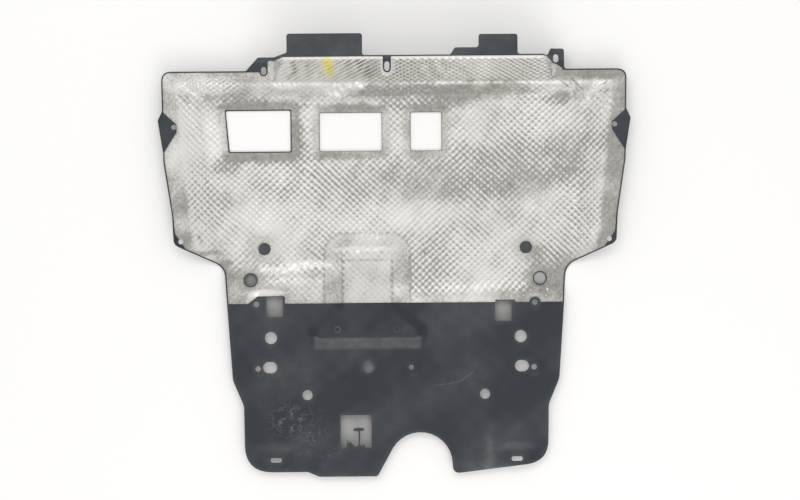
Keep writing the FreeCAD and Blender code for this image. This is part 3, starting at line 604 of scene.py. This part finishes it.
shader.inputs["Specular IOR Level"].default_value = 0.4
worn_grain = math_node(tree, "MULTIPLY_ADD", worn, 0.8, grain)
tree.links.new(bump_node(tree, worn_grain, 0.0003, 0.35), shader.inputs["Normal"])
panel.data.materials.append(moulding)
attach(panel, "root")
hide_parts("undertray_panel")


# Heat shield: thin aluminium sheet, embossed all over with crossed rows of bumps before it was pressed on
# to the panel, so its pattern follows the sheet over the slopes and is flattened along edges and folds.
sheet_thickness = 1.0
bump_period = 8.2
bump_height = 1.7
pattern_across, pattern_along = 1.043, 0.974
beyond = 500
# Lengths in plan and on the flat sheet. The rim at the wall slopes at 45 degrees.
stretch_plan = np.array([-beyond, rim_foot_y, rim_foot_y + rim_height,
                         wall_foot_y, wall_foot_y + wall_front_run, beyond])
rim_stretch = math.sqrt(2)
wall_stretch = math.hypot(wall_front_run, wall_height) / wall_front_run
stretch = np.array([1, rim_stretch, 1, wall_stretch, 1])
side_run = rim_height * tangent(rim_side_draft)
side_stretch = math.hypot(side_run, rim_height) / side_run
stretch_sheet = stretch_plan[0] + np.concatenate([[0], np.cumsum(np.diff(stretch_plan) * stretch)])


def to_plan(sheet_x, sheet_y):
    """Where a point of the flat sheet lies in plan: lengths shrink over each slope by the slope's cosine."""
    y = np.interp(sheet_y, stretch_sheet, stretch_plan)
    past = np.abs(sheet_x) - rim_foot_x(y)
    shrink = np.clip(past, 0, side_run * side_stretch) * (1 - 1 / side_stretch)
    return np.stack([np.sign(sheet_x) * (np.abs(sheet_x) - shrink), y], axis=-1)


def to_sheet(points):
    """Where a point in plan lies on the flat sheet, the reverse of to_plan."""
    x, y = points.T
    grow = np.clip(np.abs(x) - rim_foot_x(y), 0, side_run) * (side_stretch - 1)
    return np.sign(x) * (np.abs(x) + grow), np.interp(y, stretch_plan, stretch_sheet)


def smooth(value, start, end):
    """0 at the start, 1 at the end and level at both: three squares of the share less two cubes of it."""
    share = np.clip((value - start) / (end - start), 0, 1)
    return share * share * (3 - 2 * share)


def half_round(x, y, radius, first_deg, last_deg):
    """Corners along part of a circle, for a cut round a fixing hole."""
    return [(x + radius * math.cos(turn), y + radius * math.sin(turn), 0)
            for turn in np.radians(np.linspace(first_deg, last_deg, 9))]


shield_side = [(291.3, -79.85, 2), (295.2, -14.8, 34), (363.5, 16.6, 5),
               *half_round(372, 29.25, 4.8, 238.3, 52.3), (382, 43.25, 6), (384.5, 74, 60),
               (399, 168, 20), (399.4, 185, 4), (378, 219.25, 4), (378, 232.75, 4),
               (400.6, 253.3, 4), (402, 322.25, 14.5)]
shield_outline = rounded([
    (-257, -79.85, 3), (-240, -66.75, 3), (-193, -66.75, 3), (-193, -79.85, 2),
    (174, -79.85, 2), (174, -75.75, 1), (208, -75.75, 1), (208, -79.85, 2),
    *half_round(*upper_hole, 10, 175, 5), *shield_side,
    (293.5, 322.25, 3), (292, 326, 2), (281.5, 333.25, 3), (261.5, 342.25, 4),
    (-4.7, 342.25, 2), *half_round(-11.7, 325.25, 7, 0, -180), (-18.7, 342.25, 2),
    (-219, 342.25, 4), *half_round(-226, 322.25, 7, 0, -180), *mirrored(shield_side),
], 1.9)
window_rims = {"wide": 2.0, "middle": 0.6, "narrow": 0.6}
shield_windows = []
for name, corners in windows.items():
    outwards = np.sign(np.array(corners) - np.mean(corners, axis=0)) * window_rims[name]
    grown = np.column_stack([np.array(corners) + outwards, np.full(len(corners), 3.0)])
    shield_windows.append(rounded(grown, 1.9))
shield_holes = [*shield_windows]
for side in (-1, 1):
    shield_holes += [obround(side * 228.5, 15.45, 21.6, 21.6), obround(side * 252.5, -38.75, 25, 25)]
shield_loops = turned([shield_outline, *shield_holes])

# The net follows the pattern: four points to a bump along both rows, laid on the flat sheet.
pattern_middle = 150
rows = np.arange(-250, 251) * bump_period / 4
u, v = np.meshgrid(rows, rows)
sheet_x = (u + v) / math.sqrt(2) * pattern_across
sheet_y = (u - v) / math.sqrt(2) * pattern_along + pattern_middle
near = (np.abs(sheet_x) < 425) & (sheet_y > -84) & (sheet_y < 400)
shield_net = triangulate(shield_loops, to_plan(sheet_x[near], sheet_y[near]), 1.1)
backing_net = triangulate(shield_loops, lattice_over((-410, -84), (410, 346), 9.0), 4.0)

# Where the sheet slopes or is pressed flat, and the height of its bumps there.
shield_points = shield_net[0]
x, y = shield_points.T
flat_x, flat_y = to_sheet(shield_points)
row_u = (flat_x / pattern_across + (flat_y - pattern_middle) / pattern_along) / math.sqrt(2)
row_v = (flat_x / pattern_across - (flat_y - pattern_middle) / pattern_along) / math.sqrt(2)
shield_edge = off_loops(shield_points, shield_loops)
window_edge = off_loops(shield_points, shield_windows)
side_past = np.abs(x) - rim_foot_x(y)
tray_depth = depth_inside(shield_points, tray_edge)
on_wall = (smooth(y, wall_foot_y - 2, wall_foot_y + 6) * smooth(x, wall_left_x, wall_left_x + 10)
           * smooth(-x, -wall_right_x, -wall_right_x + 10))
past_rim_foot = y - rim_foot_y
flange = np.maximum(smooth(side_past, side_run - 12, side_run + 2), smooth(past_rim_foot, 20, 30))
flange *= 1 - on_wall
off_pocket_x = np.abs(x - pocket_x)
neck = smooth(45 - off_pocket_x, 0, 9) * smooth(14 - y, 0, 14)
off_neck = np.hypot(np.maximum(off_pocket_x - 41, 0), np.maximum(y - 8, 0))
shoulder = smooth(off_neck, 0, 5) * smooth(-off_neck, -40, -30)
cross_slope = smooth(past_rim_foot, -2, 6) * smooth(-past_rim_foot, -30, -22) * (1 - on_wall)
stamped = smooth(-np.hypot(x + 204.4, y - 53.6), -13, -7)
pressed = 0.08 + 0.92 * smooth(shield_edge, 1.5, 8)
pressed *= 0.12 + 0.88 * smooth(window_edge, 7, 21)
pressed *= (1 - 0.86 * flange) * (1 - 0.6 * smooth(tray_depth, 2, 12)) * (1 - 0.75 * neck)
pressed *= (1 - 0.9 * stamped) * (1 - 0.75 * cross_slope)
pressed *= 1 - 0.6 * np.exp(-(past_rim_foot / 5) ** 2) * (side_past < 0)
dimpled = patch(x, y, (-322, 300), (48, 11), 0.8)
pressed = np.maximum(pressed, 1.7 * dimpled)
apron = (1 - smooth(shield_edge, 6, 30)) * smooth(-y, -70, -40) * smooth(np.abs(x), 150, 200)
pressed *= (1 - 0.8 * apron) * (1 - 0.8 * shoulder)
side_slope = smooth(side_past, 0, 8) * smooth(-side_past, 6 - side_run, 20 - side_run)
lift_u = np.clip(0.8 + 0.4 * drift(x, y, 110, 21) + 0.3 * drift(x, y, 9, 23), 0.1, 1.3)
lift_v = np.clip(0.8 + 0.4 * drift(x, y, 110, 22) + 0.3 * drift(x, y, 9, 24), 0.1, 1.3)
one_way = on_wall * smooth(-x, 15, 40)
lift_u *= 1 - 0.75 * one_way
lift_v *= 1 + 1.4 * one_way
row_u += 0.9 * drift(x, y, 45, 25) + 0.35 * drift(x, y, 11, 26)
row_v += 0.9 * drift(x, y, 45, 27) + 0.35 * drift(x, y, 11, 28)
wave = 2 * math.pi / bump_period
rows_height = lift_u * np.cos(wave * row_u) + lift_v * np.cos(wave * row_v)
bumps = 1.55 * pressed * (np.clip(0.5 + 0.25 * rows_height, 0, 1) ** 1.7 - 0.35)
emboss = 0.5 * bump_height * bumps * (1 + 2.8 * on_wall + 1.8 * side_slope)
emboss += 0.14 * drift(x, y, 2.6, 36) * (0.3 + 0.7 * pressed)

# Puckers, crumples, creases and folds from the pressing, and how far the sheet stands off the panel.
corner_off_x = np.abs(x) - rim_foot_top_x
corner_reach = np.hypot(corner_off_x, past_rim_foot)
corner_turn = np.arctan2(past_rim_foot, corner_off_x)
uneven_turn = corner_turn * 19 + 1.8 * drift(x, y, 30, 32)
puckers = smooth(corner_reach, 3, 14) * smooth(-corner_reach, -60, -30) * np.cos(uneven_turn)
puckers *= 0.55 + 0.5 * drift(x, y, 18, 33)
puckers *= smooth(corner_turn, -1.2, -0.5) * smooth(-corner_turn, -2.6, -1.9)
slack = (0.5 + 0.5 * drift(x, y, 95, 31)) * smooth(shield_edge, 6, 40) * (1 - flange) * (1 - on_wall)
bright_crumples = [((-190, 301), (18, 6)), ((-100, 291), (22, 9)), ((-64, 299), (16, 6)),
                   ((-204, -22), (30, 6)), ((-150, -11), (32, 6)), ((-225, -61), (30, 5)),
                   ((-52, 14), (44, 4))]
corner_crumple = ((-326, 299), (46, 12))
crumpled = [*bright_crumples, corner_crumple,
            ((252, -66), (22, 10)), ((120, 292), (170, 5)), ((-54, 40), (46, 5))]
crumple = sum(patch(x, y, centre, reach, 1.2) for centre, reach in crumpled)
crumple *= 0.7 - 2 * np.abs(drift(x, y, 6.5, 34)) + 0.4 * drift(x, y, 4, 35)
wall_creases = (-202, -82, -43, -32, 19.7, 30.5, 55.4, 104.3, 156.6, 207)
creases = sum(np.exp(-((x - crease) / 1.6) ** 2) for crease in wall_creases) * on_wall
ridge = np.exp(-((y - 302) / 1.8) ** 2) * smooth(x, 10, 25) * smooth(-x, -258, -240)
ridge *= np.clip(0.6 + 0.9 * drift(x, y, 7, 37), 0, 1.4)
fold_ends = [((344, 280), (369, 301)), ((349, 277), (372, 296)), ((355, 274), (376, 291)),
             ((294, 302), (318, 283)), ((301, 304), (322, 287)), ((309, 306), (329, 290)),
             ((-372, 293), (-353, 277)), ((-367, 297), (-348, 281)), ((-377, 287), (-358, 272))]
corner_folds = np.concatenate([np.linspace(*ends, 24) for ends in fold_ends])
folds = np.exp(-(off_loops(shield_points, [corner_folds]) / 2.0) ** 2)
folds *= np.clip(0.7 + drift(x, y, 8, 39), 0, 1)
off_upper_hole = np.hypot(np.abs(x) - upper_hole[0], y - upper_hole[1])
hole_ring = np.exp(-((off_upper_hole - 15) / 3.5) ** 2)
stand = 0.6 * sheet_thickness + emboss + puckers - 0.5 * folds + 0.5 * hole_ring + 1.1 * slack
stand += 0.9 * crumple + 0.35 * ridge - 0.7 * creases
stand += 0.3 * neck * np.cos(2 * math.pi * x / 5.8 + 2 * drift(x, y, 25, 38))
stand += 2.0 * on_wall * smooth(shield_edge, 0, 6) - 0.3 * (1 - smooth(shield_edge, 0, 2.5))
shield_top = relief(shield_points) + panel_thickness + np.maximum(stand, 0.2)
shield_low = relief(backing_net[0]) + panel_thickness

# Grime in stained patches, a daub of yellow paint on the wall, and painted shade and painted highlights that
# follow the relief.
# Stained patches; the broad faint one over the right field, at (218, 187), is painted shade of a soft dent.
stains = [
    ((-235, 266), (66, 8), 0.9), ((-233, 175), (62, 9), 0.9), ((-169, 206), (11, 36), 0.8),
    ((-298, 160), (20, 13), 0.6), ((104, 276), (30, 16), 0.7), ((288, 275), (26, 9), 0.8),
    ((297, 148), (18, 12), 0.5), ((70, 290), (220, 10), 0.5), ((356, 316), (58, 9), 0.7),
    ((-372, 108), (16, 30), 0.35), ((218, 187), (120, 62), 0.2), ((-70, 262), (62, 7), 0.55),
    ((55, 264), (40, 8), 0.5), ((-296, -12), (7, 7), 1.0), ((-376, 28), (10, 9), 0.9),
    ((-340, 8), (34, 5), 0.7), ((-120, 12), (70, 26), 0.25), ((-75, 178), (60, 6), 0.35),
    ((50, 128), (105, 34), 0.6), ((-205, 118), (42, 24), 0.25), ((235, 150), (110, 55), 0.3),
    ((392, 160), (14, 95), 0.3), ((372, 70), (16, 50), 0.4), ((307, 155), (5, 4), 0.9),
    ((55, 8), (7, 5), 0.7), ((72, -7), (6, 4), 0.6), ((24, -32), (5, 4), 0.7),
    ((-338, 36), (4, 9), 0.8), ((270, -28), (34, 40), 0.45),
]
grime_and_painted_shading = 0.19 + 0.16 * drift(x, y, 80, 41) + 0.12 * drift(x, y, 22, 42)
uneven_x, uneven_y = x + 3 * drift(x, y, 14, 43), y + 3 * drift(x, y, 14, 44)
for centre, reach, depth in stains:
    grime_and_painted_shading += depth * patch(uneven_x, uneven_y, centre, reach, 1.6)
# Darker along the edges and on the flange, and a painted highlight on the side slopes.
grime_and_painted_shading += 0.25 * np.exp(-shield_edge / 3) + 0.35 * flange - 0.3 * smooth(side_past, 2, 14) * (1 - flange)
# Darker round the windows, painted shade in the corner folds and a painted highlight on the ring round the
# upper holes.
grime_and_painted_shading += 0.3 * (1 - smooth(window_edge, 8, 20)) + 0.8 * folds - 0.4 * hole_ring
# Painted shade on the cross rim's slope and along the rim foot, and a painted highlight on the wall.
grime_and_painted_shading += 0.1 * cross_slope - 0.5 * on_wall + 0.3 * np.exp(-(past_rim_foot / 6) ** 2) * (side_past < 0)
# Darker towards the low end and on the aprons, and a painted highlight on the dimpled patch.
grime_and_painted_shading += 0.2 * smooth(-y, 0, 40) - 0.4 * dimpled + 0.3 * apron
# Painted highlights on the corner crumple, the ridge and the other crumples.
grime_and_painted_shading -= 0.35 * patch(x, y, *corner_crumple) + 0.4 * ridge
grime_and_painted_shading -= 0.7 * sum(patch(x, y, centre, reach) for centre, reach in bright_crumples)
# Painted shade along the sides and head of the neck, over its shoulder and round the shoulder's rim.
neck_sides = np.exp(-((off_pocket_x - 43) / 2.5) ** 2) * smooth(-y, -6, 6)
neck_head = np.exp(-((y + 5) / 2) ** 2) * smooth(40 - off_pocket_x, 0, 6)
shoulder_rim = np.exp(-((off_neck - 34) / 2.5) ** 2)
grime_and_painted_shading += 0.4 * neck_sides + 0.4 * neck_head + 0.12 * shoulder + 0.3 * shoulder_rim
# Painted highlights on the bump tops and painted shade in their valleys, strongest on the wall and side
# slopes.
bump_gleam = 1.35 * np.clip(0.8 + 0.4 * drift(x, y, 70, 46), 0.25, 1.4)
grime_and_painted_shading -= bumps * (bump_gleam + 1.8 * on_wall + 0.7 * side_slope)
daub_x, daub_y, daub_lean = -113, 330, 0.16
daub = patch(x - daub_lean * (daub_y - y), y, (daub_x, daub_y), (10, 17), 0.5)
daub *= np.clip(1.05 + 0.6 * drift(x, y, 5, 45), 0, 1)
shield = plate("heat_shield_sheet", shield_net, shield_top, backing_net, shield_low,
               {"grime_and_painted_shading": (np.clip(grime_and_painted_shading, 0, 1), 0.2), "daub": (daub, 0.0)}, 60)

sheet_metal, tree, shader, at = new_material("embossed_aluminium")
cloud = noise_node(tree, at, 14, 6, 0.6)
smut = noise_node(tree, at, 130, 5, 0.6)
clean = colour_mix(tree, cloud, (0.66, 0.644, 0.61, 1), (0.84, 0.828, 0.80, 1))
# Grime and stains darken the clean metal, together with the painted shade and painted highlights of the
# relief.
grime_and_shading_cover = attribute_node(tree, "grime_and_painted_shading")
uneven_smut = math_node(tree, "MULTIPLY_ADD", smut, 0.8, 0.28)
grime_and_shading_share = math_node(tree, "MULTIPLY", grime_and_shading_cover, uneven_smut, clamp=True)
stained_and_shaded = colour_mix(tree, grime_and_shading_share, clean, (0.23, 0.217, 0.193, 1))
flecks = place_group(tree, speckle, {"Vector": at, "Cover": grime_and_shading_cover}, Scale=260.0)
flecked = colour_mix(tree, math_node(tree, "MULTIPLY", flecks, 0.25), stained_and_shaded, (0.10, 0.095, 0.08, 1))
daub_wear = math_node(tree, "MULTIPLY_ADD", smut, 1.2, 0.1)
daub_share = math_node(tree, "MULTIPLY", attribute_node(tree, "daub"), daub_wear, clamp=True)
tree.links.new(colour_mix(tree, daub_share, flecked, (0.76, 0.68, 0.10, 1)), shader.inputs["Base Color"])
coated = math_node(tree, "MAXIMUM", math_node(tree, "MULTIPLY", grime_and_shading_share, 0.5), daub_share)
bare = math_node(tree, "SUBTRACT", 1.0, coated)
tree.links.new(math_node(tree, "MULTIPLY", bare, 0.6), shader.inputs["Metallic"])
metal_roughness = math_node(tree, "MULTIPLY_ADD", smut, 0.16, 0.34)
roughness = math_node(tree, "MULTIPLY_ADD", grime_and_shading_share, 0.25, metal_roughness)
tree.links.new(roughness, shader.inputs["Roughness"])
tree.links.new(bump_node(tree, smut, 0.0006, 0.4), shader.inputs["Normal"])
shield.data.materials.append(sheet_metal)
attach(shield, "root")
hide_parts("heat_shield")
